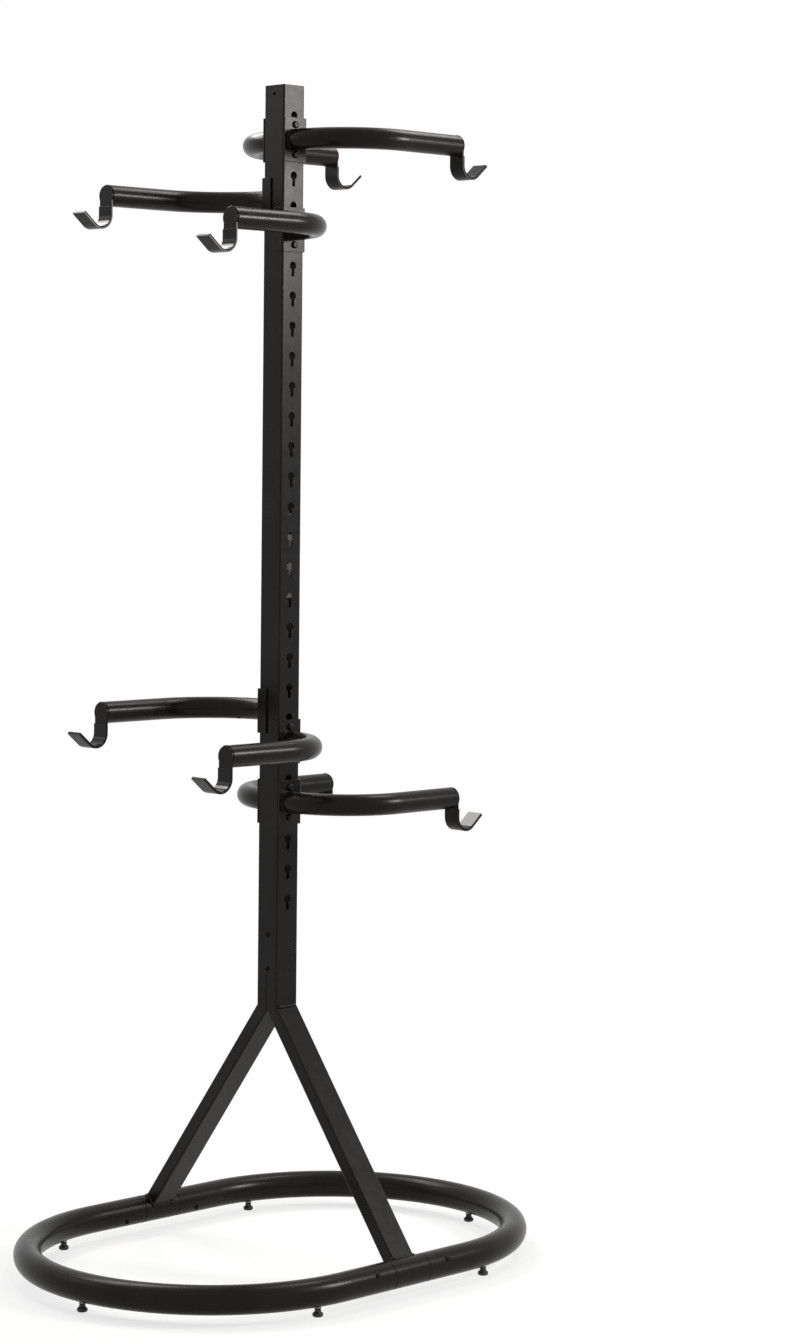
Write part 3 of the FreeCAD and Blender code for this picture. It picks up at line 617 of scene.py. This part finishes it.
RING_TUBE = 2 * RING_RADIUS / MM
LONG_HEAD = SCREW_HEAD[:6] + [(4.65, SADDLE), (3.0, SADDLE), (3.0, -RING_TUBE), (0, -RING_TUBE)]
DOME_NUT = [(0, 4.0), (1.2, 3.9), (2.3, 3.4), (3.2, 2.5), (4.0, 2.3), (4.5, 1.6), (4.5, SADDLE),
            (0, SADDLE)]
long_button = combined(turned(LONG_HEAD), hexagon(HEX_KEY, SOCKET_FLOOR, PRISM_TOP), "DIFFERENCE")
dome_nut = combined(turned(DOME_NUT), hexagon(NUT_FLATS, SADDLE, PRISM_TOP), "INTERSECT")
parts = []
for side in (-1, 1):
    for end in (-1, 1):
        centre = Vector((side * SOCKET_X, end * BOLT_Y, SOCKET_Z))
        out = Vector((side * math.cos(BOLT_TILT), 0, math.sin(BOLT_TILT)))
        parts += [(long_button, centre + out * RING_RADIUS, out),
                  (dome_nut, centre - out * RING_RADIUS, -out)]
ring_bolts = placed("ring_through_bolts", parts, "frame", black_zinc)
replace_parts(ring_bolts, "ring_bolts")
print("screws", len(post_screws.data.vertices), "ring bolts", len(ring_bolts.data.vertices), "vertices")

# %% [markdown]
# Each levelling foot is a moulded pad on an M6 threaded stem. The thread is drawn as plain ridges 1 mm
# apart, since a thread's slope is too small to see, and they are exactly as wide as the CAD stem.

# %% Feet
PAD = [(0, 0), (6.5, 0), (7.4, 0.35), (8.4, 1.1), (8.9, 2.1), (9.0, 3.4), (9.0, 4.6), (8.8, 5.4),
       (8.2, 6.1), (7.2, 6.9), (6.2, 7.7), (5.6, 8.6), (5.3, 9.6), (5.3, 13.5), (5.0, 13.9), (0, 13.9)]
STEM_FOOT, STEM_TOP, THREAD_PITCH, THREAD_ROOT, THREAD_CREST = 13.5, 30.0, 1.0, 2.45, 3.0


def thread_profile():
    profile = [(0, STEM_TOP), (THREAD_ROOT, STEM_TOP)]
    z = STEM_TOP - THREAD_PITCH / 2
    while z > STEM_FOOT:
        profile += [(THREAD_CREST, z), (THREAD_ROOT, z - THREAD_PITCH / 2)]
        z -= THREAD_PITCH
    return profile + [(0, STEM_FOOT)]


pad, stem = turned(PAD), turned(thread_profile())
for place in FEET:
    low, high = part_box("foot_" + place)
    at = ((low.x + high.x) / 2, (low.y + high.y) / 2, low.z)
    body = place + "_foot"
    piece = placed(body + "_pad", [(pad, at, (0, 0, 1))], body, grained_nylon)
    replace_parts(piece, "foot_" + place)
    placed(body + "_stem", [(stem, at, (0, 0, 1))], body, bright_zinc)
print("feet", len(FEET))

# %% [markdown]
# ## The studio
# The background is plain white. A floor that is lit to white would need so much lamp light that the rack
# would lose its black, so the floor and the sky show white only to the camera and in reflections, and
# give the rack ordinary light. Close to the rack about a third of the floor's white is real light on white
# paint, and this part darkens under the ring, which is the shadow.

# %% Floor and sky
FLOOR_HALF = 30.0
FLOOR_PAINT = "#efefef"
SHADOW_SHARE, SHADOW_NEAR, SHADOW_FAR = 0.3, 0.9, 2.2
SKY_LIGHT = 0.55


def seen_directly(tree):
    """1 for rays from the camera and for reflected and refracted ones, 0 for all others."""
    path = node(tree, "ShaderNodeLightPath").outputs
    both = node(tree, "ShaderNodeMath", {0: path["Is Camera Ray"], 1: path["Is Glossy Ray"]},
                operation="MAXIMUM")
    return node(tree, "ShaderNodeMath", {0: both.outputs[0], 1: path["Is Transmission Ray"]},
                operation="MAXIMUM").outputs[0]


floor_paint, tree, place = new_material("white_floor_paint")
distance = node(tree, "ShaderNodeVectorMath", {0: place}, operation="LENGTH")
share = node(tree, "ShaderNodeMapRange", {"Value": distance.outputs["Value"], "From Min": SHADOW_NEAR,
                                          "From Max": SHADOW_FAR, "To Min": 1 - SHADOW_SHARE, "To Max": 1.0},
             interpolation_type="SMOOTHSTEP")
shown = node(tree, "ShaderNodeMath", {0: share.outputs[0], 1: seen_directly(tree)}, operation="MULTIPLY")
paint = node(tree, "ShaderNodeBsdfDiffuse", {"Color": linear(FLOOR_PAINT)})
white = node(tree, "ShaderNodeEmission", {"Strength": 1.0})
mixed = node(tree, "ShaderNodeMixShader", {0: shown.outputs[0], 1: paint.outputs[0], 2: white.outputs[0]})
node(tree, "ShaderNodeOutputMaterial", {"Surface": mixed.outputs[0]})

floor_mesh = bpy.data.meshes.new("floor")
corners = [(x * FLOOR_HALF, y * FLOOR_HALF, 0) for x, y in ((-1, -1), (1, -1), (1, 1), (-1, 1))]
floor_mesh.from_pydata(corners, [], [(0, 1, 2, 3)])
floor = bpy.data.objects.new("floor", floor_mesh)
floor_mesh.materials.append(floor_paint)
bpy.context.scene.collection.objects.link(floor)

world = bpy.data.worlds.new("studio")
world.use_nodes = True
bpy.context.scene.world = world
tree = world.node_tree
tree.nodes.clear()
strength = node(tree, "ShaderNodeMapRange", {"Value": seen_directly(tree), "To Min": SKY_LIGHT})
sky = node(tree, "ShaderNodeBackground", {"Color": (1.0, 1.0, 1.0, 1.0), "Strength": strength.outputs[0]})
node(tree, "ShaderNodeOutputWorld", {"Surface": sky.outputs[0]})
bpy.context.scene.view_settings.view_transform = "Standard"

# %% [markdown]
# ## Lamps
# Satin black has almost no colour of its own and is drawn by what it reflects, so each softbox is placed
# for the line that it draws. The key stands behind and to the right, a little above the rack, and runs
# the sharp highlight down the tubes and over the top of the keyhole face. A larger one higher up at the
# rear gives the broad second line on the tubes' tops. One at the left shines in the glossy hook liners,
# and a weak one at the front left lifts the plain face near its top.

# %% Softboxes
LAMP_COLOUR = (1.0, 0.965, 0.93)
SOFTBOXES = {"softbox_key": ((2.72, 2.0, 2.35), (0, 0, 1.9), (0.7, 0.8), 100),
             "softbox_rear": ((0.1, 1.9, 4.05), (0, 0, 1.3), (1.3, 0.9), 31),
             "softbox_left": ((-1.95, -0.1, 3.3), (0.1, -0.3, 1.8), (2.0, 0.8), 62),
             "softbox_front": ((-2.6, -2.5, 2.9), (0, 0, 1.7), (1.8, 1.4), 10)}
for name, (at, aim, size, watts) in SOFTBOXES.items():
    lamp = bpy.data.lights.new(name, "AREA")
    lamp.shape = "RECTANGLE"
    lamp.size, lamp.size_y = size
    lamp.energy = watts
    lamp.color = LAMP_COLOUR
    holder = bpy.data.objects.new(name, lamp)
    aim_line = Vector(aim) - Vector(at)
    holder.matrix_world = Matrix.Translation(at) @ aim_line.to_track_quat("-Z", "Y").to_matrix().to_4x4()
    bpy.context.scene.collection.objects.link(holder)
print("lamps", len(SOFTBOXES))
